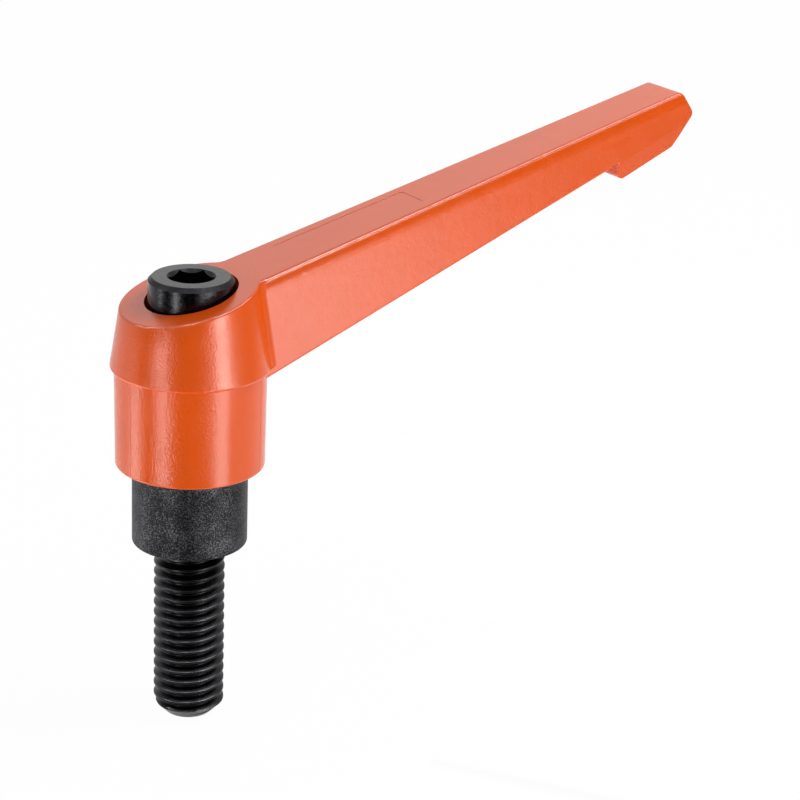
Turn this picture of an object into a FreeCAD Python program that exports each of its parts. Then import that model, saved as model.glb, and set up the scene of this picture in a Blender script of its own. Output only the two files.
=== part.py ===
"""Adjustable clamping lever with a threaded stud.

A die-cast handle sits over a serrated insert. Lifted against its spring, the handle
turns freely on the insert and drops back into any of its teeth. Let go, it turns the
insert and the stud, which clamp whatever the stud is screwed into.

Millimetres. The origin is the middle of the insert's seating face, where it presses on
the clamped part. +Z runs up the axis, +X along the arm, and the handle is at rest in
its teeth.
"""
import FreeCAD, Part
import math
import os

# Threaded stud, drawn at its major diameter, and at its pitch diameter where it is held
STUD_DIAMETER = 8.0
STUD_HELD_DIAMETER = 7.2
STUD_PROJECTION = 20.9
STUD_TIP_CHAMFER = 1.1
THREAD_PLAY = 0.05

# Serrated insert: a plain collar with a toothed crown on top
COLLAR_DIAMETER = 12.8
COLLAR_SHOWING = 9.2
COLLAR_GUIDE_LENGTH = 4.0
COLLAR_EDGE_ROUND = 0.25
INSERT_HOLE_CHAMFER = 0.3
CROWN_HEIGHT = 3.0
TOOTH_COUNT = 24
TOOTH_INSET = 0.2
TOOTH_DEPTH = 0.65
TOOTH_FLANK_ANGLE = 28.0
TOOTH_LEAD_IN = 0.3
TOOTH_PLAY = 0.1

# Retaining screw: a socket head cap screw
SHANK_DIAMETER = 6.0
SCREW_ENGAGEMENT = 7.4
SCREW_END_GAP = 1.6
SHANK_TIP_CHAMFER = 0.6
HEAD_DIAMETER = 9.4
HEAD_HEIGHT = 5.5
HEAD_CHAMFER = 0.45
HEAD_UNDER_CHAMFER = 0.25
SOCKET_ACROSS_FLATS = 4.5
SOCKET_TURN = 30.0
SOCKET_DEPTH = 3.0
SOCKET_CONE_DEPTH = 0.9
SOCKET_MOUTH_MARGIN = 0.06

# Return spring: round wire with closed ends
SPRING_ROOM = 7.0
SPRING_WIRE = 0.7
SPRING_TURNS = 3.6
SPRING_CLOSED_TURNS = 0.8
SPRING_CLOSED_PITCH = 0.75
SPRING_SEAT_PLAY = 0.1

# Handle hub: a lower cylinder and an upper cone that overhangs it, both with draft
HUB_WALL = 1.75
HUB_LOWER_DRAFT = 0.5
HUB_LOWER_LENGTH = 11.2
HUB_BOTTOM_ROUND = 0.3
STEP_OVERHANG = 0.5
CONE_DRAFT = 8.8
CONE_HEIGHT_ON_AXIS = 8.4
TOP_TILT = 13.8

# Handle arm: straight, tapered in both views, with drafted sides and a finger rest
ARM_LENGTH = 66.4
ARM_TOP_WIDTH_AT_AXIS = 8.4
ARM_TOP_WIDTH_AT_TIP = 5.9
ARM_SIDE_DRAFT = 5.0
UNDERSIDE_OFFSET = 0.7
UNDERSIDE_RISE = 20.1
TIP_UPPER_BEVEL = 1.9
TIP_UPPER_ROUND = 1.2
TIP_LOWER_BEVEL = 3.2
NOSE_DROP = 3.27
REST_LENGTH = 8.1
REST_DEPTH = 2.15
REST_DEPTH_AT_TIP = 1.9
REST_FACE_DRAFT = 6.0
REST_SIDE_DRAFT = 4.0
TIP_ROUND = 0.8
EDGE_ROUND = 0.28
ROOT_ROUND = 1.3
FIELD_START = 11.5
FIELD_END = 28.5
FIELD_MARGIN = 1.45
FIELD_DEPTH = 0.04
FIELD_CORNER_ROUND = 0.5

# Fits between the handle and what is inside it
BORE_PLAY = 0.08
BORE_MOUTH_CHAMFER = 0.3
SHANK_HOLE_PLAY = 0.08
HEAD_PLAY = 0.4
CROWN_FOOT_GAP = 0.2
CROWN_TOP_GAP = 0.2
WEB_THICKNESS = 1.8

# Levels along the axis, worked out from the sizes above
HUB_BOTTOM = COLLAR_SHOWING
STEP = HUB_BOTTOM + HUB_LOWER_LENGTH
TOP_ON_AXIS = STEP + CONE_HEIGHT_ON_AXIS
CROWN_FOOT = COLLAR_SHOWING + COLLAR_GUIDE_LENGTH
CROWN_TOP = CROWN_FOOT + CROWN_HEIGHT
TEETH_FOOT = CROWN_FOOT + CROWN_FOOT_GAP
WEB_UNDERSIDE = CROWN_TOP + CROWN_TOP_GAP
WEB_TOP = WEB_UNDERSIDE + WEB_THICKNESS
HEAD_UNDERSIDE = WEB_TOP + SPRING_ROOM
HEAD_TOP = HEAD_UNDERSIDE + HEAD_HEIGHT
SHANK_END = CROWN_TOP - SCREW_ENGAGEMENT
STUD_TOP = SHANK_END - SCREW_END_GAP

# Radii that follow from another piece or from the shape next to them
BORE_RADIUS = COLLAR_DIAMETER / 2 + BORE_PLAY
HUB_BOTTOM_RADIUS = BORE_RADIUS + HUB_WALL
BELOW_STEP_RADIUS = HUB_BOTTOM_RADIUS + HUB_LOWER_LENGTH * math.tan(math.radians(HUB_LOWER_DRAFT))
CONE_BASE_RADIUS = BELOW_STEP_RADIUS + STEP_OVERHANG
UNDERSIDE_START = CONE_BASE_RADIUS + UNDERSIDE_OFFSET
COUNTERBORE_RADIUS = HEAD_DIAMETER / 2 + HEAD_PLAY
TOOTH_TIP_RADIUS = COLLAR_DIAMETER / 2 - TOOTH_INSET
TOOTH_ROOT_RADIUS = TOOTH_TIP_RADIUS - TOOTH_DEPTH
SPRING_COIL_RADIUS = (SHANK_DIAMETER / 2 + COUNTERBORE_RADIUS) / 2

AXIS = FreeCAD.Vector(0, 0, 1)


def slope(degrees):
    return math.tan(math.radians(degrees))


def turned(outline):
    """A solid of revolution from (radius, height) points that start and end on the axis."""
    points = [FreeCAD.Vector(r, 0, z) for r, z in outline]
    face = Part.Face(Part.makePolygon(points + points[:1]))
    return face.revolve(FreeCAD.Vector(0, 0, 0), AXIS, 360)


def cylinder(radius, foot, top):
    return Part.makeCylinder(radius, top - foot, FreeCAD.Vector(0, 0, foot))


def cone(foot_radius, top_radius, foot, top):
    return Part.makeCone(foot_radius, top_radius, top - foot, FreeCAD.Vector(0, 0, foot))


def top_height(x):
    """Height of the handle's tilted top face."""
    return TOP_ON_AXIS + x * slope(TOP_TILT)


def underside_height(x):
    """Height of the arm's underside, which leaves the hub just below the step and rises."""
    return STEP + (x - UNDERSIDE_START) * slope(UNDERSIDE_RISE)


def threaded_stud():
    radius = STUD_DIAMETER / 2
    held = STUD_HELD_DIAMETER / 2
    tip = -STUD_PROJECTION
    chamfer = STUD_TIP_CHAMFER
    return turned([
        (0, tip),
        (radius - chamfer, tip),
        (radius, tip + chamfer),
        (radius, 0),
        (held, radius - held),
        (held, STUD_TOP - chamfer),
        (held - chamfer, STUD_TOP),
        (0, STUD_TOP),
    ])


def tooth_half_width(radius, play):
    """Half the width of a tooth, or of the space around it when play is given."""
    middle = (TOOTH_TIP_RADIUS + TOOTH_ROOT_RADIUS) / 2
    quarter_pitch = 2 * math.pi * middle / TOOTH_COUNT / 4
    flank = math.radians(TOOTH_FLANK_ANGLE)
    return quarter_pitch - (radius - middle) * math.tan(flank) + play / math.cos(flank)


def serration(play, foot, top):
    """A toothed prism: the insert's crown, or with play the space that takes it."""
    root = TOOTH_ROOT_RADIUS + play
    tip = TOOTH_TIP_RADIUS + play
    points = []
    for tooth in range(TOOTH_COUNT):
        middle = 2 * math.pi * tooth / TOOTH_COUNT
        for radius, side in ((root, -1), (tip, -1), (tip, 1), (root, 1)):
            angle = middle + side * math.asin(tooth_half_width(radius, play) / radius)
            points.append(FreeCAD.Vector(radius * math.cos(angle), radius * math.sin(angle), foot))
    face = Part.Face(Part.makePolygon(points + points[:1]))
    return face.extrude(AXIS * (top - foot))


def crown():
    """The teeth on top of the insert, with a lead-in bevel for the handle's teeth."""
    teeth = serration(0, CROWN_FOOT, CROWN_TOP)
    bevelled = cylinder(TOOTH_TIP_RADIUS, CROWN_FOOT, CROWN_TOP - TOOTH_LEAD_IN).fuse(
        cone(TOOTH_TIP_RADIUS, TOOTH_TIP_RADIUS - TOOTH_LEAD_IN, CROWN_TOP - TOOTH_LEAD_IN, CROWN_TOP)
    )
    return teeth.common(bevelled)


def serrated_insert():
    collar = cylinder(COLLAR_DIAMETER / 2, 0, CROWN_FOOT)
    collar = collar.makeFillet(COLLAR_EDGE_ROUND, [e for e in collar.Edges if e.Closed])
    body = collar.fuse(crown())
    stud_hole = STUD_HELD_DIAMETER / 2 + THREAD_PLAY
    screw_hole = SHANK_DIAMETER / 2 + THREAD_PLAY
    chamfer = INSERT_HOLE_CHAMFER
    mouth = STUD_DIAMETER / 2 + chamfer
    holes = [
        cylinder(stud_hole, 0, STUD_TOP + chamfer),
        cone(mouth, stud_hole, 0, mouth - stud_hole),
        cylinder(screw_hole, STUD_TOP, CROWN_TOP),
        cone(screw_hole, screw_hole + chamfer, CROWN_TOP - chamfer, CROWN_TOP),
    ]
    return body.cut(holes).removeSplitter()


def hexagon(across_flats, foot, top):
    radius = across_flats / 2 / math.cos(math.radians(30))
    corners = [math.radians(SOCKET_TURN + 60 * side) for side in range(6)]
    points = [FreeCAD.Vector(radius * math.cos(a), radius * math.sin(a), foot) for a in corners]
    return Part.Face(Part.makePolygon(points + points[:1])).extrude(AXIS * (top - foot))


def retaining_screw():
    shank = SHANK_DIAMETER / 2
    head = HEAD_DIAMETER / 2
    body = turned([
        (0, SHANK_END),
        (shank - SHANK_TIP_CHAMFER, SHANK_END),
        (shank, SHANK_END + SHANK_TIP_CHAMFER),
        (shank, HEAD_UNDERSIDE),
        (head - HEAD_UNDER_CHAMFER, HEAD_UNDERSIDE),
        (head, HEAD_UNDERSIDE + HEAD_UNDER_CHAMFER),
        (head, HEAD_TOP - HEAD_CHAMFER),
        (head - HEAD_CHAMFER, HEAD_TOP),
        (0, HEAD_TOP),
    ])
    floor = HEAD_TOP - SOCKET_DEPTH
    corner = SOCKET_ACROSS_FLATS / 2 / math.cos(math.radians(30))
    mouth = corner + SOCKET_MOUTH_MARGIN
    flat = SOCKET_ACROSS_FLATS / 2
    socket = [
        hexagon(SOCKET_ACROSS_FLATS, floor, HEAD_TOP),
        cone(0, flat, floor - SOCKET_CONE_DEPTH, floor),
        cone(flat, mouth, HEAD_TOP - (mouth - flat), HEAD_TOP),
    ]
    return body.cut(socket)


def spring_path():
    """The wire's middle line: a closed turn at each end and open turns between."""
    foot = WEB_TOP + SPRING_SEAT_PLAY + SPRING_WIRE / 2
    top = HEAD_UNDERSIDE - SPRING_SEAT_PLAY - SPRING_WIRE / 2
    closed = SPRING_CLOSED_TURNS
    closed_rise = closed * SPRING_CLOSED_PITCH
    open_pitch = (top - foot - 2 * closed_rise) / (SPRING_TURNS - 2 * closed)
    steps = round(SPRING_TURNS * 16)
    points = []
    for step in range(steps + 1):
        turn = SPRING_TURNS * step / steps
        if turn < closed:
            height = foot + turn * SPRING_CLOSED_PITCH
        elif turn > SPRING_TURNS - closed:
            height = top - (SPRING_TURNS - turn) * SPRING_CLOSED_PITCH
        else:
            height = foot + closed_rise + (turn - closed) * open_pitch
        angle = 2 * math.pi * turn
        points.append(FreeCAD.Vector(
            SPRING_COIL_RADIUS * math.cos(angle), SPRING_COIL_RADIUS * math.sin(angle), height))
    curve = Part.BSplineCurve()
    curve.interpolate(points)
    return Part.Wire(curve.toShape())


def return_spring():
    path = spring_path()
    edge = path.Edges[0]
    start = edge.valueAt(edge.FirstParameter)
    along = edge.tangentAt(edge.FirstParameter)
    section = Part.Wire(Part.makeCircle(SPRING_WIRE / 2, start, along))
    return path.makePipeShell([section], True, True)


def rounded_outline(corners):
    """A closed wire in the XZ plane from (x, z, radius) corners."""
    edges = []
    last = None
    count = len(corners)
    for i in range(count):
        before, here, after = (
            FreeCAD.Vector(corners[j % count][0], 0, corners[j % count][1])
            for j in (i - 1, i, i + 1)
        )
        radius = corners[i][2]
        back = (before - here).normalize()
        on = (after - here).normalize()
        half = back.getAngle(on) / 2
        reach = radius / math.tan(half)
        start = here + back * reach
        end = here + on * reach
        if last is None:
            first = start
        else:
            edges.append(Part.makeLine(last, start))
        if radius > 0:
            inward = (back + on).normalize()
            middle = here + inward * (radius / math.sin(half) - radius)
            edges.append(Part.Arc(start, middle, end).toShape())
        last = end
    edges.append(Part.makeLine(last, first))
    return Part.Wire(edges)


def across_the_arm(outline):
    """A block wider than the arm from an outline in the XZ plane."""
    reach = FreeCAD.Vector(0, 2 * CONE_BASE_RADIUS, 0)
    face = Part.Face(outline)
    face.translate(reach * -0.5)
    return face.extrude(reach)


def arm_side_view():
    """The arm seen from the side: tapered, with the nose and the finger rest at its tip."""
    rest_end = ARM_LENGTH - TIP_LOWER_BEVEL
    rest_start = rest_end - REST_LENGTH
    face_run = REST_DEPTH * slope(REST_FACE_DRAFT)
    corners = [
        (0, underside_height(0), 0),
        (rest_start - face_run, underside_height(rest_start - face_run), 0),
        (rest_start, underside_height(rest_start) - REST_DEPTH, TIP_ROUND),
        (rest_end, underside_height(rest_end) - REST_DEPTH_AT_TIP, TIP_ROUND),
        (ARM_LENGTH, top_height(ARM_LENGTH) - NOSE_DROP, TIP_ROUND),
        (ARM_LENGTH - TIP_UPPER_BEVEL, top_height(ARM_LENGTH - TIP_UPPER_BEVEL), TIP_UPPER_ROUND),
        (0, TOP_ON_AXIS, 0),
    ]
    return across_the_arm(rounded_outline(corners))


def solid_between(first, second):
    """A solid with flat sides between two facing quadrilaterals."""
    faces = [Part.Face(Part.makePolygon(ring + ring[:1])) for ring in (first, second)]
    for i in range(4):
        j = (i + 1) % 4
        side = [first[i], first[j], second[j], second[i]]
        faces.append(Part.Face(Part.makePolygon(side + side[:1])))
    return Part.Solid(Part.Shell(faces))


def between_sides(half_width):
    """A block along the arm whose flat sides follow a half-width over x and z."""
    def section(x):
        low = HUB_BOTTOM
        high = top_height(ARM_LENGTH) + NOSE_DROP
        return [
            FreeCAD.Vector(x, side * half_width(x, z), z)
            for z, side in ((low, -1), (low, 1), (high, 1), (high, -1))
        ]
    return solid_between(section(0), section(ARM_LENGTH + NOSE_DROP))


def arm_half_width(x, z):
    """Half the arm's width: narrower towards the tip, its drafted sides wider below."""
    return arm_top_half_width(x) + (top_height(x) - z) * slope(ARM_SIDE_DRAFT)


def rest_half_width(x, z):
    """Half the finger rest's width: its sides draw in below the line of the underside."""
    parting = underside_height(x)
    return arm_half_width(x, parting) + (z - parting) * slope(REST_SIDE_DRAFT)


def beside_the_rest():
    """What the finger rest's own draft takes off its sides, below the line of the underside."""
    near = ARM_LENGTH - TIP_LOWER_BEVEL - 2 * REST_LENGTH
    far = ARM_LENGTH + NOSE_DROP
    corners = [
        FreeCAD.Vector(x, 0, underside_height(x) - drop)
        for x, drop in ((near, 0), (far, 0), (far, 2 * REST_DEPTH), (near, 2 * REST_DEPTH))
    ]
    below = across_the_arm(Part.makePolygon(corners + corners[:1]))
    return below.cut(between_sides(rest_half_width))


def above_top_face():
    """Everything above the handle's tilted top face."""
    reach = 2 * ARM_LENGTH
    block = Part.makeBox(2 * reach, reach, reach, FreeCAD.Vector(-reach, -reach / 2, 0))
    block.rotate(FreeCAD.Vector(0, 0, 0), FreeCAD.Vector(0, 1, 0), -TOP_TILT)
    block.translate(FreeCAD.Vector(0, 0, TOP_ON_AXIS))
    return block


def hub_blank():
    lower = cone(HUB_BOTTOM_RADIUS, BELOW_STEP_RADIUS, HUB_BOTTOM, STEP)
    height = 2 * CONE_HEIGHT_ON_AXIS
    top_radius = CONE_BASE_RADIUS - height * slope(CONE_DRAFT)
    upper = cone(CONE_BASE_RADIUS, top_radius, STEP, STEP + height)
    return lower.fuse(upper)


def corner_kind(shape, edge):
    """Whether an edge of a solid is an outer corner, an inner corner or smooth."""
    faces = shape.ancestorsOfType(edge, Part.Face)
    if len(faces) < 2:
        return "smooth"
    middle = edge.valueAt((edge.FirstParameter + edge.LastParameter) / 2)
    normals = [face.normalAt(*face.Surface.parameter(middle)) for face in faces]
    if normals[0].getAngle(normals[1]) < math.radians(30):
        return "smooth"
    beside = middle + (normals[0] - normals[1]).normalize() * 0.01
    return "inner" if shape.isInside(beside, 1e-6, False) else "outer"


def rounded_handle(blank):
    """The casting's rounds: the arm's two roots first, then every outer corner."""
    roots = []
    for edge in blank.Edges:
        if corner_kind(blank, edge) == "inner" and edge.BoundBox.ZLength > CONE_HEIGHT_ON_AXIS / 2:
            roots.append(edge)
    shape = blank.makeFillet(ROOT_ROUND, roots)
    outer = [edge for edge in shape.Edges if corner_kind(shape, edge) == "outer"]
    upper = [edge for edge in outer if edge.BoundBox.ZMax > HUB_BOTTOM + EDGE_ROUND]
    shape = shape.makeFillet(EDGE_ROUND, upper)
    bottom = [edge for edge in shape.Edges if edge.Closed and edge.BoundBox.ZMax < HUB_BOTTOM + EDGE_ROUND]
    return shape.makeFillet(HUB_BOTTOM_ROUND, bottom)


def handle_bores():
    """What is cut from the casting: the insert's bore and teeth, the web's hole, the counterbore."""
    mouth = BORE_MOUTH_CHAMFER
    lead = TOOTH_LEAD_IN
    teeth_tip = TOOTH_ROOT_RADIUS + TOOTH_PLAY
    return [
        cylinder(BORE_RADIUS, HUB_BOTTOM, TEETH_FOOT),
        cone(BORE_RADIUS + mouth, BORE_RADIUS, HUB_BOTTOM, HUB_BOTTOM + mouth),
        serration(TOOTH_PLAY, TEETH_FOOT, WEB_UNDERSIDE),
        cone(teeth_tip + lead, teeth_tip, TEETH_FOOT, TEETH_FOOT + lead),
        cylinder(SHANK_DIAMETER / 2 + SHANK_HOLE_PLAY, WEB_UNDERSIDE, WEB_TOP),
        cylinder(COUNTERBORE_RADIUS, WEB_TOP, top_height(COUNTERBORE_RADIUS)),
    ]


def arm_top_half_width(x):
    share = x / ARM_LENGTH
    return (ARM_TOP_WIDTH_AT_AXIS * (1 - share) + ARM_TOP_WIDTH_AT_TIP * share) / 2


def plain_field():
    """The shallow field sunk in the arm's top face, a constant margin inside its edges."""
    corners = []
    for x, side in ((FIELD_START, -1), (FIELD_END, -1), (FIELD_END, 1), (FIELD_START, 1)):
        y = side * (arm_top_half_width(x) - FIELD_MARGIN)
        corners.append(FreeCAD.Vector(x, y, top_height(x) - FIELD_DEPTH))
    face = Part.Face(Part.makePolygon(corners + corners[:1]))
    block = face.extrude(AXIS * FIELD_MARGIN)
    ends = [edge for edge in block.Edges if edge.BoundBox.ZLength > 0.99 * FIELD_MARGIN
            and edge.BoundBox.XLength < 0.01 and edge.BoundBox.YLength < 0.01]
    return block.makeFillet(FIELD_CORNER_ROUND, ends)


def handle():
    hub = hub_blank()
    arm = arm_side_view().common(between_sides(arm_half_width))
    blank = hub.fuse(arm).cut(above_top_face()).removeSplitter()
    return rounded_handle(blank).cut(handle_bores() + [plain_field(), beside_the_rest()])


PIECES = {
    "handle": handle,
    "serrated_insert": serrated_insert,
    "threaded_stud": threaded_stud,
    "retaining_screw": retaining_screw,
    "return_spring": return_spring,
}


def main():
    os.makedirs("parts", exist_ok=True)
    for name, make in PIECES.items():
        shape = make()
        if not shape.isValid() or len(shape.Solids) != 1:
            raise RuntimeError(name + " is not one valid solid")
        shape.exportStep(os.path.join("parts", name + ".step"))
        box = shape.BoundBox
        print(name, round(shape.Volume, 1), "mm3, z", round(box.ZMin, 2), "to", round(box.ZMax, 2))


if __name__ == "__main__":
    main()
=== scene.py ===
"""The look of an adjustable clamping lever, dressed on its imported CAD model.

An orange powder-coated handle on a blackened sintered collar, a rolled black stud, a
black socket head screw and the spring under its head. Lengths are metres. Z is the
turning axis, the arm runs along +X, and zero is the collar's seating face.
"""
import math

import bmesh
import bpy
from mathutils import Matrix, Vector


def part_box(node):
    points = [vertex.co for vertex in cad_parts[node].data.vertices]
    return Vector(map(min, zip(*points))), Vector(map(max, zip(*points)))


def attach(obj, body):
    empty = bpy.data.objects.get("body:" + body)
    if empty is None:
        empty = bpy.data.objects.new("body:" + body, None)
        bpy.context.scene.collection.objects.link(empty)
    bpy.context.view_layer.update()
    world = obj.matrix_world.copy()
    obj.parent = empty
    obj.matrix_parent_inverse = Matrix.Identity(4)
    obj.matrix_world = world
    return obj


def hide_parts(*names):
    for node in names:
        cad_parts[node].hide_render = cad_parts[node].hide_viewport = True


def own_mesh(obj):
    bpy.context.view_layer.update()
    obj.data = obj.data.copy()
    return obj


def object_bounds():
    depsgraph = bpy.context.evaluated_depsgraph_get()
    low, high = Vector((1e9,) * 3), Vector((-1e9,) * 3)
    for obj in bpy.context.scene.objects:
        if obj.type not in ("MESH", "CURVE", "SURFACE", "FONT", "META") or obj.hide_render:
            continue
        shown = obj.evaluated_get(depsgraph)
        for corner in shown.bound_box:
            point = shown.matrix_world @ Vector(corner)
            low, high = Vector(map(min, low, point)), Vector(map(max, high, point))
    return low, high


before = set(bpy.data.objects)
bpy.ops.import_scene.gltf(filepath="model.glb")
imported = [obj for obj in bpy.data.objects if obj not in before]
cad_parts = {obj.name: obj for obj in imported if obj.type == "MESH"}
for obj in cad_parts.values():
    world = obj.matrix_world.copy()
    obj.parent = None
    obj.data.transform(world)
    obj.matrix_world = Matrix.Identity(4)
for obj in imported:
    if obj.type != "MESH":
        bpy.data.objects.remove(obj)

bl_info = {
    "name": "Adjustable clamping lever",
    "version": (1, 0, 0),
    "blender": (4, 5, 0),
    "location": "3D View > Sidebar > Lever",
    "description": "Finishes, thread, spring and studio for an adjustable clamping lever",
    "category": "Object",
}

CAD_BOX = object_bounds()
MM = 0.001

# the handle's tilted top face, and its lower hub from foot to step, as in the CAD model
TOP_ON_AXIS = 28.8 * MM
TOP_TILT = 13.8
LOWER_HUB_FOOT = 9.5 * MM
LOWER_HUB_FOOT_RADIUS = 8.23 * MM
LOWER_HUB_TOP = 20.38 * MM
LOWER_HUB_TOP_RADIUS = 8.327 * MM

# where the mould halves met, as bearings around the hub
WITNESS_LINES = (("witness_line_left", 189.0), ("witness_line_right", -53.0))

# the stud: its thread's flanks, the chamfer at its tip, the run-out below the collar, and
# the plain end that the collar hides
THREAD_RADIUS = 4.0 * MM
FLANK_ANGLE = 60
CREST_ROUND = 0.03 * MM
TIP_CHAMFER = 1.3 * MM
RUN_OUT_LENGTH = 1.2 * MM
RUN_OUT_TAPER = 0.12
HELD_CHAMFER_RADIUS = 3.9 * MM
HELD_RADIUS = 3.58 * MM
LEAST_RADIUS = 0.5 * MM

# the spring: turns in all, closed turns at each end, and how steeply those wind
SPRING_TURNS = 3.6
CLOSED_TURNS = 0.8
CLOSED_PITCH = 0.75 * MM


def linear(colour):
    """A hex sRGB colour as linear red, green and blue."""
    channels = [int(colour[i:i + 2], 16) / 255 for i in (1, 3, 5)]
    return tuple(c / 12.92 if c <= 0.04045 else ((c + 0.055) / 1.055) ** 2.4 for c in channels)


def opaque(value):
    """A linear colour as a node's socket takes it."""
    return (value[0], value[1], value[2], 1.0)


WHITE = opaque(linear("#FFFFFF"))


def length(name, description, millimetres):
    """A property for a size, with its default in millimetres."""
    return bpy.props.FloatProperty(
        name=name, description=description, default=millimetres * MM, min=0.0,
        unit="LENGTH", precision=5)


def colour(name, description, value):
    """A property for a colour, with its default in hex."""
    return bpy.props.FloatVectorProperty(
        name=name, description=description, default=linear(value), min=0.0, max=1.0,
        size=3, subtype="COLOR")


class LeverSizes(bpy.types.PropertyGroup):
    """Sizes that the CAD model doesn't hold."""
    thread_pitch: length("Thread pitch", "Rise of the stud's thread in one turn", 1.25)
    crest_diameter: length("Crest diameter", "Width of the stud over its thread", 7.92)
    root_diameter: length("Root diameter", "Width of the stud in its thread's root", 6.47)
    crest_height: length(
        "Crest height", "How far above the seat a crest crosses the arm's side", 0.65)
    spring_wire: length("Spring wire", "Thickness of the return spring's wire", 0.7)
    spring_coil: length("Spring coil", "Width of the spring's coil between wire centres", 8.1)
    seam_width: length("Seam width", "Width of the witness line that the casting mould left", 0.2)
    seam_height: length("Seam height", "How far that line stands proud", 0.05)


class LeverColours(bpy.types.PropertyGroup):
    """Colours of the finishes and of the studio."""
    powder: colour("Powder coat", "Colour of the handle's powder coat", "#D04C02")
    sinter: colour("Sintered steel", "Colour of the blackened collar", "#1D1D1F")
    sinter_grain: colour("Sinter grain", "Colour of the grains rubbed bright", "#636366")
    stud: colour("Stud", "Black oxide on the rolled thread", "#232325")
    # painted highlight: a lighter colour on the edges of the stud's crests, drawn as their
    # highlight lines
    painted_crest_highlight: colour(
        "Rubbed edge", "Edges of the stud's crests, where the oxide is thin", "#3C3C3E")
    screw: colour("Screw", "Black oxide on the socket head screw", "#2C2C2E")
    # painted shade: a darker colour painted in the screw's socket mouth and on its chamfer
    screw_painted_shade: colour(
        "Cut faces", "Darker oxide in the screw's socket and on its chamfer", "#18181A")
    wire: colour("Spring wire", "Bright drawn spring steel", "#B9BABC")
    floor: colour("Floor", "Pale studio floor", "#FAFAFA")
    card: colour("Card", "Matt black studio card", "#0D0D0D")


def sizes():
    """The scene's sizes."""
    return bpy.context.scene.lever_sizes


def colours():
    """The scene's colours."""
    return bpy.context.scene.lever_colours


def add_node(tree, kind, settings=None, inputs=None, links=None):
    """A shader node with its settings, the values of its inputs and what feeds them."""
    node = tree.nodes.new("ShaderNode" + kind)
    for name, value in (settings or {}).items():
        setattr(node, name, value)
    for name, value in (inputs or {}).items():
        node.inputs[name].default_value = value
    for name, socket in (links or {}).items():
        tree.links.new(socket, node.inputs[name])
    return node


def new_material(name):
    """An empty node material, its tree and its output node."""
    material = bpy.data.materials.new(name)
    material.use_nodes = True
    tree = material.node_tree
    tree.nodes.clear()
    return material, tree, add_node(tree, "OutputMaterial")


# nearly all of a noise texture lies between these values
NOISE_RANGE = {"From Min": 0.3, "From Max": 0.7}


def below_top_face(tree, split):
    """How far a point of the handle lies below the plane of its tilted top face."""
    top = add_node(
        tree, "Math", {"operation": "MULTIPLY_ADD"},
        {1: math.tan(math.radians(TOP_TILT)), 2: TOP_ON_AXIS}, {0: split.outputs["X"]})
    below = add_node(
        tree, "Math", {"operation": "SUBTRACT"},
        links={0: top.outputs["Value"], 1: split.outputs["Z"]})
    return below.outputs["Value"]


def rounded_top_edge(tree, split, normal):
    """The surface's normal, bent where the casting rounds off below its top face's edge.

    It rounds off softly, over 1.9 mm along the arm and over 2.5 mm on the hub's far side,
    and on the arm the film gathers in a bead 0.24 mm wide.
    """
    below = below_top_face(tree, split)
    far_side = {"From Min": -5.0 * MM, "From Max": -2.0 * MM}
    reach = add_node(
        tree, "MapRange", inputs={**far_side, "To Min": 2.5 * MM, "To Max": 1.9 * MM},
        links={"Value": split.outputs["X"]})
    share = add_node(
        tree, "MapRange", inputs={"From Min": 0.0, "To Min": 1.0, "To Max": 0.0},
        links={"Value": below, "From Max": reach.outputs["Result"]})
    curved = add_node(
        tree, "Math", {"operation": "POWER"}, {1: 2.0}, {0: share.outputs["Result"]})
    onto_arm = add_node(
        tree, "MapRange", inputs={"From Min": 6.4 * MM, "From Max": 7.0 * MM, "To Max": 0.6},
        links={"Value": split.outputs["X"]})
    onto_far_side = add_node(
        tree, "MapRange", inputs={**far_side, "To Min": 0.3, "To Max": 0.0},
        links={"Value": split.outputs["X"]})
    softness = add_node(
        tree, "Math", {"operation": "MAXIMUM"},
        links={0: onto_arm.outputs["Result"], 1: onto_far_side.outputs["Result"]})
    soft_edge = add_node(
        tree, "Bump", {"invert": True}, {"Distance": 0.7 * MM},
        {"Strength": softness.outputs["Value"], "Height": curved.outputs["Value"],
         "Normal": normal})
    bead_top, bead_middle, bead_foot = 0.28 * MM, 0.4 * MM, 0.52 * MM
    rise = add_node(
        tree, "MapRange", {"interpolation_type": "SMOOTHSTEP"},
        {"From Min": bead_top, "From Max": bead_middle}, {"Value": below})
    fall = add_node(
        tree, "MapRange", {"interpolation_type": "SMOOTHSTEP"},
        {"From Min": bead_middle, "From Max": bead_foot, "To Min": 1.0, "To Max": 0.0},
        {"Value": below})
    bead = add_node(
        tree, "Math", {"operation": "MULTIPLY"},
        links={0: rise.outputs["Result"], 1: fall.outputs["Result"]})
    bump = add_node(
        tree, "Bump", inputs={"Distance": 0.045 * MM},
        links={"Strength": onto_arm.outputs["Result"], "Height": bead.outputs["Value"],
               "Normal": soft_edge.outputs["Normal"]})
    return bump.outputs["Normal"]


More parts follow.
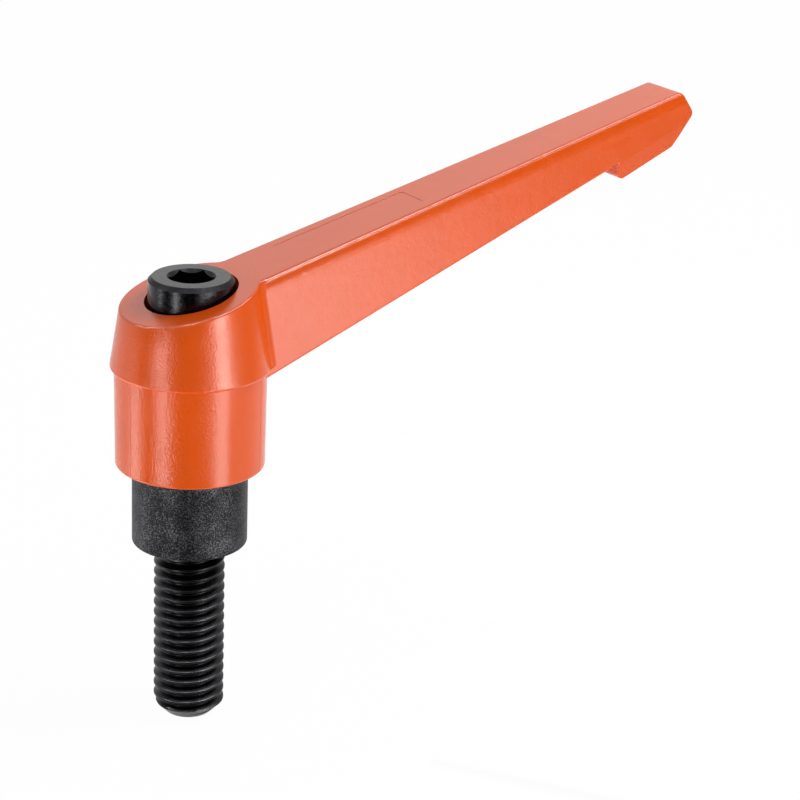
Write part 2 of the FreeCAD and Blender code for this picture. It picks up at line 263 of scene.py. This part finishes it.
def powder_coated_zinc():
    """Orange polyester powder coat on a zinc pressure die casting.

    The baked powder flows into a semi-gloss skin with a fine orange peel, which breaks
    up the reflections of the lamps and leaves the flat colour nearly even.
    """
    material, tree, output = new_material("orange_powder_coated_zinc")
    place = add_node(tree, "TexCoord").outputs["Object"]
    split = add_node(tree, "SeparateXYZ", links={"Vector": place})
    # orange peel: low waves 1.4 mm apart
    waves = add_node(
        tree, "TexNoise", inputs={"Scale": 1 / (1.4 * MM), "Detail": 2.0, "Roughness": 0.5},
        links={"Vector": place})
    long_peel = add_node(
        tree, "Bump", inputs={"Strength": 0.5, "Distance": 0.04 * MM},
        links={"Height": waves.outputs["Fac"]})
    # powder grain of 0.26 mm, at its full height on the hub's far side from the arm and at
    # a quarter of it along the arm
    grain = add_node(
        tree, "TexNoise", inputs={"Scale": 1 / (0.26 * MM), "Detail": 2.0, "Roughness": 0.6},
        links={"Vector": place})
    coarse = add_node(
        tree, "MapRange", {"interpolation_type": "SMOOTHSTEP"},
        {"From Min": -5.0 * MM, "From Max": 1.0 * MM, "To Min": 1.0, "To Max": 0.25},
        {"Value": split.outputs["X"]})
    peel = add_node(
        tree, "Bump", inputs={"Distance": 0.05 * MM},
        links={"Strength": coarse.outputs["Result"], "Height": grain.outputs["Fac"],
               "Normal": long_peel.outputs["Normal"]})
    normal = rounded_top_edge(tree, split, peel.outputs["Normal"])
    # the film's thickness drifts a little over centimetres
    drift = add_node(
        tree, "TexNoise", inputs={"Scale": 1 / (9 * MM), "Detail": 2.0}, links={"Vector": place})
    shade = add_node(
        tree, "MapRange", inputs={**NOISE_RANGE, "To Min": 0.97, "To Max": 1.03},
        links={"Value": drift.outputs["Fac"]})
    tint = add_node(
        tree, "HueSaturation", inputs={"Color": opaque(colours().powder)},
        links={"Value": shade.outputs["Result"]})
    gloss = add_node(
        tree, "MapRange", inputs={**NOISE_RANGE, "To Min": 0.18, "To Max": 0.25},
        links={"Value": waves.outputs["Fac"]})
    shader = add_node(
        tree, "BsdfPrincipled", inputs={"Metallic": 0.0, "IOR": 1.5},
        links={"Base Color": tint.outputs["Color"], "Roughness": gloss.outputs["Result"],
               "Normal": normal})
    tree.links.new(shader.outputs["BSDF"], output.inputs["Surface"])
    return material


def blackened_sintered_steel():
    """Steam-blackened sintered steel.

    Pressed powder keeps its grains and pores, so the dark oxide glitters in fine specks
    and never gives a clean reflection.
    """
    material, tree, output = new_material("steam_blackened_sintered_steel")
    place = add_node(tree, "TexCoord").outputs["Object"]
    # grains of 0.1 mm, drawn at 0.16 mm so that they show
    grains = add_node(
        tree, "TexNoise", inputs={"Scale": 1 / (0.16 * MM), "Detail": 3.0, "Roughness": 0.7},
        links={"Vector": place})
    # the oxide is cloudy over 2.2 mm, and the highest grains are rubbed bright
    clouds = add_node(
        tree, "TexNoise", inputs={"Scale": 1 / (2.2 * MM), "Detail": 3.0}, links={"Vector": place})
    both = add_node(
        tree, "Math", {"operation": "MULTIPLY_ADD"}, {1: 0.25},
        {0: clouds.outputs["Fac"], 2: grains.outputs["Fac"]})
    wear_and_painted_highlight = add_node(
        tree, "MapRange", inputs={"From Min": 0.6, "From Max": 0.8},
        links={"Value": both.outputs["Value"]})
    tint = add_node(
        tree, "Mix", {"data_type": "RGBA"},
        {"A": opaque(colours().sinter), "B": opaque(colours().sinter_grain)},
        {"Factor": wear_and_painted_highlight.outputs["Result"]})
    bump = add_node(
        tree, "Bump", inputs={"Strength": 0.8, "Distance": 0.05 * MM},
        links={"Height": grains.outputs["Fac"]})
    shader = add_node(
        tree, "BsdfPrincipled", inputs={"Metallic": 1.0, "Roughness": 0.5},
        links={"Base Color": tint.outputs["Result"], "Normal": bump.outputs["Normal"]})
    tree.links.new(shader.outputs["BSDF"], output.inputs["Surface"])
    return material


def radius_from_axis(tree, place):
    """How far a point of the surface is from the turning axis."""
    flat = add_node(
        tree, "VectorMath", {"operation": "MULTIPLY"}, {1: (1.0, 1.0, 0.0)}, {0: place})
    radius = add_node(
        tree, "VectorMath", {"operation": "LENGTH"}, links={0: flat.outputs["Vector"]})
    return radius.outputs["Value"]


def black_oxide_stud_steel():
    """Black oxide on a rolled steel thread.

    Rolling burnishes the flanks, so the thread is nearly black and its crests catch the
    lamps as thin lines, which a lighter colour painted on each crest's edges strengthens
    as a painted highlight.
    """
    material, tree, output = new_material("black_oxide_rolled_steel")
    place = add_node(tree, "TexCoord").outputs["Object"]
    # oxide crystals gather in soft patches 0.6 mm wide
    patches = add_node(
        tree, "TexNoise", inputs={"Scale": 1 / (0.6 * MM), "Detail": 4.0, "Roughness": 0.6},
        links={"Vector": place})
    gloss = add_node(
        tree, "MapRange", inputs={**NOISE_RANGE, "To Min": 0.26, "To Max": 0.4},
        links={"Value": patches.outputs["Fac"]})
    bump = add_node(
        tree, "Bump", inputs={"Strength": 0.25, "Distance": 0.01 * MM},
        links={"Height": patches.outputs["Fac"]})
    # painted highlight: both edges of each crest are painted lighter, down to 0.07 mm
    # below it, the crest is not
    radius = radius_from_axis(tree, place)
    crest = sizes().crest_diameter / 2
    outer = add_node(
        tree, "MapRange", inputs={"From Min": crest - 0.09 * MM, "From Max": crest - 0.05 * MM},
        links={"Value": radius})
    inner = add_node(
        tree, "MapRange", inputs={"From Min": crest - 0.01 * MM, "From Max": crest - 0.002 * MM,
                                  "To Min": 1.0, "To Max": 0.0},
        links={"Value": radius})
    wear_and_painted_highlight = add_node(
        tree, "Math", {"operation": "MULTIPLY"},
        links={0: outer.outputs["Result"], 1: inner.outputs["Result"]})
    tint = add_node(
        tree, "Mix", {"data_type": "RGBA"},
        {"A": opaque(colours().stud), "B": opaque(colours().painted_crest_highlight)},
        {"Factor": wear_and_painted_highlight.outputs["Value"]})
    shader = add_node(
        tree, "BsdfPrincipled", inputs={"Metallic": 1.0},
        links={"Base Color": tint.outputs["Result"], "Roughness": gloss.outputs["Result"],
               "Normal": bump.outputs["Normal"]})
    tree.links.new(shader.outputs["BSDF"], output.inputs["Surface"])
    return material


def black_oxide_screw_steel():
    """Black oxide on a cold-headed socket screw.

    The oiled oxide is satin, and the headed side keeps shallow dimples that mottle its
    highlights.
    """
    material, tree, output = new_material("black_oxide_headed_steel")
    place = add_node(tree, "TexCoord").outputs["Object"]
    # dimples 0.45 mm wide
    dimples = add_node(
        tree, "TexNoise", inputs={"Scale": 1 / (0.45 * MM), "Detail": 3.0, "Roughness": 0.6},
        links={"Vector": place})
    gloss = add_node(
        tree, "MapRange", inputs={**NOISE_RANGE, "To Min": 0.18, "To Max": 0.32},
        links={"Value": dimples.outputs["Fac"]})
    bump = add_node(
        tree, "Bump", inputs={"Strength": 0.6, "Distance": 0.04 * MM},
        links={"Height": dimples.outputs["Fac"]})
    # painted shade: the socket's mouth and the head's chamfer, both cut faces, are painted
    # darker, and made more matt
    split = add_node(tree, "SeparateXYZ", links={"Vector": place})
    radius = radius_from_axis(tree, place)
    in_socket = add_node(
        tree, "MapRange", inputs={"From Min": 2.64 * MM, "From Max": 2.7 * MM,
                                  "To Min": 1.0, "To Max": 0.0},
        links={"Value": radius})
    at_rim = add_node(
        tree, "MapRange", inputs={"From Min": 4.2 * MM, "From Max": 4.28 * MM},
        links={"Value": radius})
    at_top = add_node(
        tree, "MapRange", inputs={"From Min": 30.2 * MM, "From Max": 30.28 * MM},
        links={"Value": split.outputs["Z"]})
    chamfer = add_node(
        tree, "Math", {"operation": "MULTIPLY"},
        links={0: at_rim.outputs["Result"], 1: at_top.outputs["Result"]})
    cut = add_node(
        tree, "Math", {"operation": "MAXIMUM"},
        links={0: in_socket.outputs["Result"], 1: chamfer.outputs["Value"]})
    tint = add_node(
        tree, "Mix", {"data_type": "RGBA"},
        {"A": opaque(colours().screw), "B": opaque(colours().screw_painted_shade)},
        {"Factor": cut.outputs["Value"]})
    roughness = add_node(
        tree, "Math", {"operation": "MULTIPLY_ADD"}, {1: 0.2},
        {0: cut.outputs["Value"], 2: gloss.outputs["Result"]})
    shader = add_node(
        tree, "BsdfPrincipled", inputs={"Metallic": 1.0},
        links={"Base Color": tint.outputs["Result"], "Roughness": roughness.outputs["Value"],
               "Normal": bump.outputs["Normal"]})
    tree.links.new(shader.outputs["BSDF"], output.inputs["Surface"])
    return material


def spring_steel():
    """Bright drawn spring steel wire, with faint lines along it from the drawing die."""
    material, tree, output = new_material("drawn_spring_steel")
    place = add_node(tree, "TexCoord").outputs["Object"]
    # die lines 0.8 mm long and a twelfth as high, drawn coarser than the real ones to show
    stretched = add_node(
        tree, "Mapping", inputs={"Scale": (1.0, 1.0, 12.0)}, links={"Vector": place})
    lines = add_node(
        tree, "TexNoise", inputs={"Scale": 1 / (0.8 * MM), "Detail": 2.0},
        links={"Vector": stretched.outputs["Vector"]})
    gloss = add_node(
        tree, "MapRange", inputs={**NOISE_RANGE, "To Min": 0.2, "To Max": 0.36},
        links={"Value": lines.outputs["Fac"]})
    shader = add_node(
        tree, "BsdfPrincipled",
        inputs={"Metallic": 1.0, "Base Color": opaque(colours().wire)},
        links={"Roughness": gloss.outputs["Result"]})
    tree.links.new(shader.outputs["BSDF"], output.inputs["Surface"])
    return material


FINISHES = {
    "powder_coated_zinc": powder_coated_zinc,
    "blackened_sintered_steel": blackened_sintered_steel,
    "black_oxide_stud_steel": black_oxide_stud_steel,
    "black_oxide_screw_steel": black_oxide_screw_steel,
    "spring_steel": spring_steel,
}
made = {}


def finish_for(material_slot):
    """The material for a slot of the record, made the first time it is asked for."""
    if material_slot not in made:
        made[material_slot] = FINISHES[material_slot]()
    return made[material_slot]


def refinish(node, finish):
    """Give a CAD node its own finish in every slot."""
    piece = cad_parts[node]
    for material_slot in piece.material_slots:
        material_slot.material = finish_for(finish)


def new_piece(name, mesh, finish, body, sharp=35.0):
    """A shaded object for a finished mesh, riding on its body."""
    for polygon in mesh.polygons:
        polygon.use_smooth = True
    mesh.set_sharp_from_angle(angle=math.radians(sharp))
    mesh.materials.append(finish_for(finish))
    piece = bpy.data.objects.new(name, mesh)
    bpy.context.scene.collection.objects.link(piece)
    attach(piece, body)
    return piece


def mesh_from(name, points, faces):
    """A mesh from its points and the faces between them."""
    mesh = bpy.data.meshes.new(name)
    mesh.from_pydata(points, [], faces)
    mesh.validate()
    return mesh


def thread_profile():
    """One pitch of the rolled profile: (height above the crest's middle, radius) pairs."""
    size = sizes()
    pitch = size.thread_pitch
    crest = size.crest_diameter / 2
    root = size.root_diameter / 2
    slope = math.tan(math.radians(FLANK_ANGLE))
    flank = (crest - root) / slope
    half_crest = pitch / 16 + (THREAD_RADIUS - crest) / slope
    half = [
        (0.0, crest),
        (half_crest - CREST_ROUND, crest),
        (half_crest, crest - CREST_ROUND / 3),
        (half_crest + CREST_ROUND / 2, crest - CREST_ROUND / 2 * slope),
    ]
    for share in (0.35, 0.7, 0.9):
        half.append((half_crest + flank * share, crest - flank * share * slope))
    half.append((half_crest + flank * 1.05, root + CREST_ROUND / 2))
    middle = [(pitch / 2, root)]
    mirrored = [(pitch - z, r) for z, r in reversed(half[1:])]
    return half + middle + mirrored


def stud_envelope(z, foot):
    """The largest radius of the stud at a height: its tip, its run-out and its held end."""
    crest = sizes().crest_diameter / 2
    tip = crest - TIP_CHAMFER + (z - foot)
    run_out = crest - max(0.0, z + RUN_OUT_LENGTH) * RUN_OUT_TAPER
    if z <= 0:
        return min(crest, tip, run_out)
    held = HELD_CHAMFER_RADIUS - z
    return max(HELD_RADIUS, min(crest, tip, run_out, held))


def rolled_thread(foot, top):
    """The stud with its right-hand thread, trimmed to its tip and to its hidden end."""
    steps = 72
    spare_turns = 2
    pitch = sizes().thread_pitch
    profile = thread_profile()
    count = len(profile)
    first_turn = math.floor((foot - sizes().crest_height) / pitch) - spare_turns
    turns = math.ceil((top - foot) / pitch) + 2 * spare_turns
    points = []
    for step in range(steps * turns + 1):
        angle = 2 * math.pi * step / steps
        crest = sizes().crest_height + pitch * (first_turn + step / steps)
        for height, radius in profile:
            z = crest + height
            r = min(radius, max(stud_envelope(z, foot), LEAST_RADIUS))
            points.append((r * math.cos(angle), r * math.sin(angle), z))
    faces = []
    for step in range(steps * turns):
        here = step * count
        there = here + count
        for k in range(count - 1):
            faces.append((here + k, there + k, there + k + 1, here + k + 1))
        if step + steps < steps * turns:
            above = (step + steps) * count
            faces.append((here + count - 1, there + count - 1, above + count, above))
    mesh = mesh_from("threaded_stud_m8", points, faces)
    shape = bmesh.new()
    shape.from_mesh(mesh)
    for height, normal in ((foot, (0, 0, -1)), (top, (0, 0, 1))):
        cut = bmesh.ops.bisect_plane(
            shape, geom=shape.verts[:] + shape.edges[:] + shape.faces[:],
            plane_co=(0, 0, height), plane_no=normal, clear_outer=True)
        rim = [e for e in cut["geom_cut"] if isinstance(e, bmesh.types.BMEdge)]
        bmesh.ops.contextual_create(shape, geom=rim)
    bmesh.ops.recalc_face_normals(shape, faces=shape.faces[:])
    shape.to_mesh(mesh)
    shape.free()
    return mesh


def coil_point(turn, foot, top):
    """A point of the wire's middle line: closed end turns, open turns between."""
    closed_rise = CLOSED_TURNS * CLOSED_PITCH
    open_pitch = (top - foot - 2 * closed_rise) / (SPRING_TURNS - 2 * CLOSED_TURNS)
    if turn < CLOSED_TURNS:
        z = foot + turn * CLOSED_PITCH
    elif turn > SPRING_TURNS - CLOSED_TURNS:
        z = top - (SPRING_TURNS - turn) * CLOSED_PITCH
    else:
        z = foot + closed_rise + (turn - CLOSED_TURNS) * open_pitch
    radius = sizes().spring_coil / 2
    angle = 2 * math.pi * turn
    return Vector((radius * math.cos(angle), radius * math.sin(angle), z))


def coiled_wire(foot, top):
    """The return spring as a round wire with square-cut ends."""
    steps = 110
    sides = 14
    radius = sizes().spring_wire / 2
    points = []
    for step in range(steps + 1):
        turn = SPRING_TURNS * step / steps
        centre = coil_point(turn, foot + radius, top - radius)
        outward = Vector((centre.x, centre.y, 0)).normalized()
        for side in range(sides):
            angle = 2 * math.pi * side / sides
            points.append(centre + outward * radius * math.cos(angle)
                          + Vector((0, 0, radius * math.sin(angle))))
    faces = []
    for step in range(steps):
        for side in range(sides):
            after = (side + 1) % sides
            here, there = step * sides, (step + 1) * sides
            faces.append((here + side, here + after, there + after, there + side))
    faces.append(tuple(range(sides - 1, -1, -1)))
    faces.append(tuple(steps * sides + side for side in range(sides)))
    return mesh_from("return_spring_wire", points, faces)


def witness_line(name, azimuth):
    """A low ridge down the hub's lower part, where two slides of the mould met."""
    size = sizes()
    half = size.seam_width / 2
    # shares of the ridge's height: its feet are sunk into the casting
    sunk, shoulder, crown = -0.4, 0.7, 1.0
    section = [(-half, sunk), (-half * 0.5, shoulder), (0.0, crown),
               (half * 0.5, shoulder), (half, sunk)]
    ends = [(LOWER_HUB_FOOT, LOWER_HUB_FOOT_RADIUS), (LOWER_HUB_TOP, LOWER_HUB_TOP_RADIUS)]
    angle = math.radians(azimuth)
    outward = Vector((math.cos(angle), math.sin(angle), 0))
    aside = Vector((-math.sin(angle), math.cos(angle), 0))
    points = []
    for height, radius in ends:
        for shift, proud in section:
            place = outward * (radius + proud * size.seam_height) + aside * shift
            points.append(place + Vector((0, 0, height)))
    count = len(section)
    faces = [(i, i + 1, i + 1 + count, i + count) for i in range(count - 1)]
    faces.append((0, count, 2 * count - 1, count - 1))
    faces.append(tuple(range(count)))
    faces.append(tuple(range(2 * count - 1, count - 1, -1)))
    mesh = mesh_from(name, points, faces)
    shape = bmesh.new()
    shape.from_mesh(mesh)
    bmesh.ops.recalc_face_normals(shape, faces=shape.faces[:])
    shape.to_mesh(mesh)
    shape.free()
    new_piece(name, mesh, "powder_coated_zinc", "handle", 50.0)


class LEVER_OT_handle(bpy.types.Operator):
    """Powder coat the handle and add the witness lines of its mould"""
    bl_idname = "lever.handle"
    bl_label = "Handle"

    def execute(self, context):
        refinish("handle", "powder_coated_zinc")
        for name, azimuth in WITNESS_LINES:
            witness_line(name, azimuth)
        return {"FINISHED"}


class LEVER_OT_insert(bpy.types.Operator):
    """Finish the serrated insert as blackened sintered steel"""
    bl_idname = "lever.insert"
    bl_label = "Serrated insert"

    def execute(self, context):
        refinish("serrated_insert", "blackened_sintered_steel")
        return {"FINISHED"}


class LEVER_OT_stud(bpy.types.Operator):
    """Roll the real thread on the stud"""
    bl_idname = "lever.stud"
    bl_label = "Threaded stud"

    def execute(self, context):
        low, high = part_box("threaded_stud")
        mesh = rolled_thread(low.z, high.z)
        piece = new_piece("threaded_stud_m8", mesh, "black_oxide_stud_steel", "clamping_core")
        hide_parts("threaded_stud")
        return {"FINISHED"}


class LEVER_OT_screw(bpy.types.Operator):
    """Finish the retaining screw in satin black oxide"""
    bl_idname = "lever.screw"
    bl_label = "Retaining screw"

    def execute(self, context):
        refinish("retaining_screw", "black_oxide_screw_steel")
        return {"FINISHED"}


class LEVER_OT_spring(bpy.types.Operator):
    """Wind the return spring"""
    bl_idname = "lever.spring"
    bl_label = "Return spring"

    def execute(self, context):
        # it stands 0.1 mm clear of the handle's web, and of the screw's head that seats it
        foot, top, seat = 18.3 * MM, 25.1 * MM, 25.2 * MM
        mesh = coiled_wire(foot, top)
        piece = new_piece("return_spring_wire", mesh, "spring_steel", "spring_seat", 60.0)
        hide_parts("return_spring")
        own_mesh(piece)
        return {"FINISHED"}


# the camera that was fitted to the photograph's outlines; its bearing is seen from the axis
CAMERA_PLACE = Vector((-132.322, -231.198, 116.872)) * MM
CAMERA_AIM = Vector((27.807, 0.032, 11.445)) * MM
CAMERA_ROLL = -2.142
CAMERA_LENS = 117.0
CAMERA_SENSOR = 36.0
CAMERA_CLIP = (1 * MM, 10.0)
CAMERA_BEARING = -119.77

# the world's light on the lever, and the share of the floor that shows plain white
FILL_LEVEL = 0.56
FLOOR_WHITE = 0.97

FLOOR_REACH = 2.0
PANELS_OVER_FLOOR = 0.5 * MM
CARDS_BELOW_PANELS = 0.2 * MM

# the black cards on the floor end where an upright one around them starts
CARD_REACH = 0.7
CARDS = (
    # name, bearing of the middle, half width, near radius
    ("front", -12.0, 64.0, 0.02),
    ("right", 98.0, 27.0, 0.25),
)
WALL_BEARING = 21.0
WALL_HALF_WIDTH = 104.0
WALL_RADII = (CARD_REACH, 0.75)
WALL_TOP = 0.4

GLOWS = (
    # name, bearing of the middle, half widths of the full glow and of its reach,
    # near and far radius, height of the far edge over the table, level, whether it lights
    ("left", -89.5, 1.0, 8.5, (0.03, 0.15), 0.0, 9.0, True),
    ("front_left", -40.5, 2.0, 9.5, (0.03, 0.3), 0.0, 8.8, True),
    ("front_left_leaning", -44.0, 2.0, 9.5, (0.3, 0.6), 100 * MM, 11.5, False),
    ("right", 47.0, 4.0, 18.0, (0.03, 0.2), 0.0, 5.8, True),
    ("right_middle", 47.0, 13.0, 32.0, (0.13, 0.4), 0.0, 6.2, True),
    ("right_leaning", 47.0, 3.0, 16.0, (0.4, 0.6), 100 * MM, 13.0, False),
    ("right_end", 81.0, 4.0, 12.0, (0.4, 0.65), 60 * MM, 0.7, False),
)

HUB = Vector((0, 0, 15 * MM))
ARM = Vector((0.05, 0, 0.04))
SOFTBOXES = (
    # name, place, what it aims at, side of the square, power, whether it lights
    ("overhead_softbox", (0.25, 0.55, 0.6), HUB, 0.6, 0.5, True),
    ("edge_softbox_right", (0.17, -0.345, 0.734), HUB, 0.15, 4.5, False),
    ("edge_softbox_front", (-0.24, -0.13, 0.75), HUB, 0.15, 2.0, False),
    ("edge_softbox_left", (-0.46, 0.33, 0.57), HUB, 0.15, 2.5, False),
    ("tip_softbox", (0.15, -0.055, 0.22), ARM, 0.12, 0.3, True),
)


def shown_white(tree):
    """1 where a ray comes from the camera, a gloss or a glass, 0 elsewhere."""
    path = add_node(tree, "LightPath")
    gloss = add_node(
        tree, "Math", {"operation": "MAXIMUM"},
        links={0: path.outputs["Is Camera Ray"], 1: path.outputs["Is Glossy Ray"]})
    glass = add_node(
        tree, "Math", {"operation": "MAXIMUM"},
        links={0: gloss.outputs["Value"], 1: path.outputs["Is Transmission Ray"]})
    return glass.outputs["Value"]


def pale_paper():
    """Matt pale paper, shown white but for the object's shadow."""
    material, tree, output = new_material("pale_studio_paper")
    share = add_node(
        tree, "Math", {"operation": "MULTIPLY"}, {1: FLOOR_WHITE}, {0: shown_white(tree)})
    paper = add_node(tree, "BsdfDiffuse", inputs={"Color": opaque(colours().floor)})
    white = add_node(tree, "Emission", inputs={"Color": WHITE, "Strength": 1.0})
    both = add_node(
        tree, "MixShader",
        links={0: share.outputs["Value"], 1: paper.outputs["BSDF"], 2: white.outputs["Emission"]})
    tree.links.new(both.outputs["Shader"], output.inputs["Surface"])
    return material


def glowing_panel(name, level, half_full, half_out):
    """A light panel that glows evenly about its middle and fades out to both sides of it."""
    material, tree, output = new_material(name)
    place = add_node(tree, "TexCoord").outputs["Object"]
    split = add_node(tree, "SeparateXYZ", links={"Vector": place})
    bearing = add_node(
        tree, "Math", {"operation": "ARCTAN2"},
        links={0: split.outputs["Y"], 1: split.outputs["X"]})
    aside = add_node(tree, "Math", {"operation": "ABSOLUTE"}, links={0: bearing.outputs["Value"]})
    fade = add_node(
        tree, "MapRange", {"interpolation_type": "SMOOTHSTEP"},
        {"From Min": math.radians(half_full), "From Max": math.radians(half_out),
         "To Min": level, "To Max": 0.0},
        {"Value": aside.outputs["Value"]})
    glow = add_node(
        tree, "Emission", inputs={"Color": WHITE}, links={"Strength": fade.outputs["Result"]})
    tree.links.new(glow.outputs["Emission"], output.inputs["Surface"])
    return material


def black_card():
    """Matt black card, which leaves dark bands between the highlights."""
    material, tree, output = new_material("matt_black_card")
    matt = add_node(tree, "BsdfDiffuse", inputs={"Color": opaque(colours().card)})
    tree.links.new(matt.outputs["BSDF"], output.inputs["Surface"])
    return material


def stage_piece(name, points, faces, material):
    """A piece of the studio, which is no part of the lever."""
    piece = bpy.data.objects.new(name, mesh_from(name, points, faces))
    piece.data.materials.append(material)
    bpy.context.scene.collection.objects.link(piece)
    return piece


def sector(name, radii, middle, half, heights, material):
    """A flat, conical or upright sector around the axis, its middle at a bearing.

    Bearings are degrees to the right of the camera's.
    """
    steps = 24
    points = []
    for step in range(steps + 1):
        angle = math.radians(half * (2 * step / steps - 1))
        for radius, height in zip(radii, heights):
            points.append((radius * math.cos(angle), radius * math.sin(angle), height))
    faces = [(2 * i, 2 * i + 1, 2 * i + 3, 2 * i + 2) for i in range(steps)]
    piece = stage_piece(name, points, faces, material)
    piece.rotation_euler.z = math.radians(CAMERA_BEARING + middle)
    return piece


def gloss_only(piece):
    """Let only glossy reflections see a card, a panel or a lamp, which shades nothing then."""
    piece.visible_camera = False
    piece.visible_diffuse = False
    piece.visible_transmission = False
    piece.visible_shadow = False


def softbox(name, place, aim, side, power):
    """A square soft lamp that the camera doesn't see."""
    lamp = bpy.data.lights.new(name, "AREA")
    lamp.shape = "RECTANGLE"
    lamp.size, lamp.size_y = side, side
    lamp.energy = power
    light = bpy.data.objects.new(name, lamp)
    light.location = place
    light.rotation_euler = (aim - Vector(place)).to_track_quat("-Z", "Y").to_euler()
    light.visible_camera = False
    bpy.context.scene.collection.objects.link(light)
    return light


def studio_floor(floor):
    """The pale floor that the stud's tip touches."""
    edge = FLOOR_REACH
    corners = [(-edge, -edge, floor), (edge, -edge, floor),
               (edge, edge, floor), (-edge, edge, floor)]
    stage_piece("studio_floor", corners, [(0, 1, 2, 3)], pale_paper())


def studio_cards(floor, height):
    """The black cards that reflections see, flat on the floor and upright around it."""
    card = black_card()
    for name, middle, half, near in CARDS:
        radii, heights = (near, CARD_REACH), (height, height)
        gloss_only(sector("card_table_" + name, radii, middle, half, heights, card))
    heights = (floor, WALL_TOP)
    gloss_only(sector("card_wall", WALL_RADII, WALL_BEARING, WALL_HALF_WIDTH, heights, card))


def studio_panels(table):
    """The glowing panels, low around the lever, that draw its upright highlights."""
    for name, middle, half_full, half_out, radii, rise, level, lights in GLOWS:
        glow = glowing_panel("glow_" + name, level, half_full, half_out)
        panel = sector(glow.name, radii, middle, half_out, (table, table + rise), glow)
        panel.visible_camera = False
        if not lights:
            gloss_only(panel)


def studio_lamps():
    """The softboxes, of which some only draw highlights on edges."""
    for name, place, aim, side, power, lights in SOFTBOXES:
        lamp = softbox(name, place, aim, side, power)
        if not lights:
            gloss_only(lamp)


def studio_world():
    """A white world that lights the lever only softly."""
    world = bpy.data.worlds.new("white_studio")
    bpy.context.scene.world = world
    world.use_nodes = True
    tree = world.node_tree
    tree.nodes.clear()
    fill = add_node(tree, "Background", inputs={"Color": WHITE, "Strength": FILL_LEVEL})
    white = add_node(tree, "Background", inputs={"Color": WHITE, "Strength": 1.0})
    both = add_node(
        tree, "MixShader",
        links={0: shown_white(tree), 1: fill.outputs["Background"], 2: white.outputs["Background"]})
    add_node(tree, "OutputWorld", links={"Surface": both.outputs["Shader"]})


def studio_camera():
    """The camera at the photograph's viewing angle."""
    lens = bpy.data.cameras.new("camera")
    lens.lens = CAMERA_LENS
    lens.sensor_width = CAMERA_SENSOR
    lens.clip_start, lens.clip_end = CAMERA_CLIP
    camera = bpy.data.objects.new("camera", lens)
    forward = (CAMERA_AIM - CAMERA_PLACE).normalized()
    right = forward.cross(Vector((0, 0, 1))).normalized()
    up = right.cross(forward)
    roll = Matrix.Rotation(math.radians(CAMERA_ROLL), 3, forward)
    right, up = roll @ right, roll @ up
    turned = Matrix((right, up, -forward)).transposed().to_4x4()
    camera.matrix_world = Matrix.Translation(CAMERA_PLACE) @ turned
    bpy.context.scene.collection.objects.link(camera)
    bpy.context.scene.camera = camera


class LEVER_OT_studio(bpy.types.Operator):
    """Set up the floor, the soft light and the camera"""
    bl_idname = "lever.studio"
    bl_label = "Studio"

    def execute(self, context):
        floor = CAD_BOX[0].z
        table = floor + PANELS_OVER_FLOOR
        studio_floor(floor)
        studio_cards(floor, table - CARDS_BELOW_PANELS)
        studio_panels(table)
        studio_lamps()
        studio_world()
        studio_camera()
        bpy.context.scene.view_settings.view_transform = "Standard"
        return {"FINISHED"}


class LEVER_PT_panel(bpy.types.Panel):
    """The steps that dress the lever"""
    bl_label = "Clamping lever"
    bl_idname = "LEVER_PT_panel"
    bl_space_type = "VIEW_3D"
    bl_region_type = "UI"
    bl_category = "Lever"

    def draw(self, context):
        for operator in OPERATORS:
            self.layout.operator(operator.bl_idname)


OPERATORS = (
    LEVER_OT_handle,
    LEVER_OT_insert,
    LEVER_OT_stud,
    LEVER_OT_screw,
    LEVER_OT_spring,
    LEVER_OT_studio,
)
CLASSES = (LeverSizes, LeverColours) + OPERATORS + (LEVER_PT_panel,)


def register():
    """Register the classes, and hang the sizes and colours on the scene."""
    for item in CLASSES:
        bpy.utils.register_class(item)
    bpy.types.Scene.lever_sizes = bpy.props.PointerProperty(type=LeverSizes)
    bpy.types.Scene.lever_colours = bpy.props.PointerProperty(type=LeverColours)


def unregister():
    """Undo what register did."""
    del bpy.types.Scene.lever_colours
    del bpy.types.Scene.lever_sizes
    for item in reversed(CLASSES):
        bpy.utils.unregister_class(item)


def main():
    """Dress the lever and set up the studio."""
    register()
    bpy.ops.lever.handle()
    bpy.ops.lever.insert()
    bpy.ops.lever.stud()
    bpy.ops.lever.screw()
    bpy.ops.lever.spring()
    bpy.ops.lever.studio()


if __name__ == "__main__":
    main()
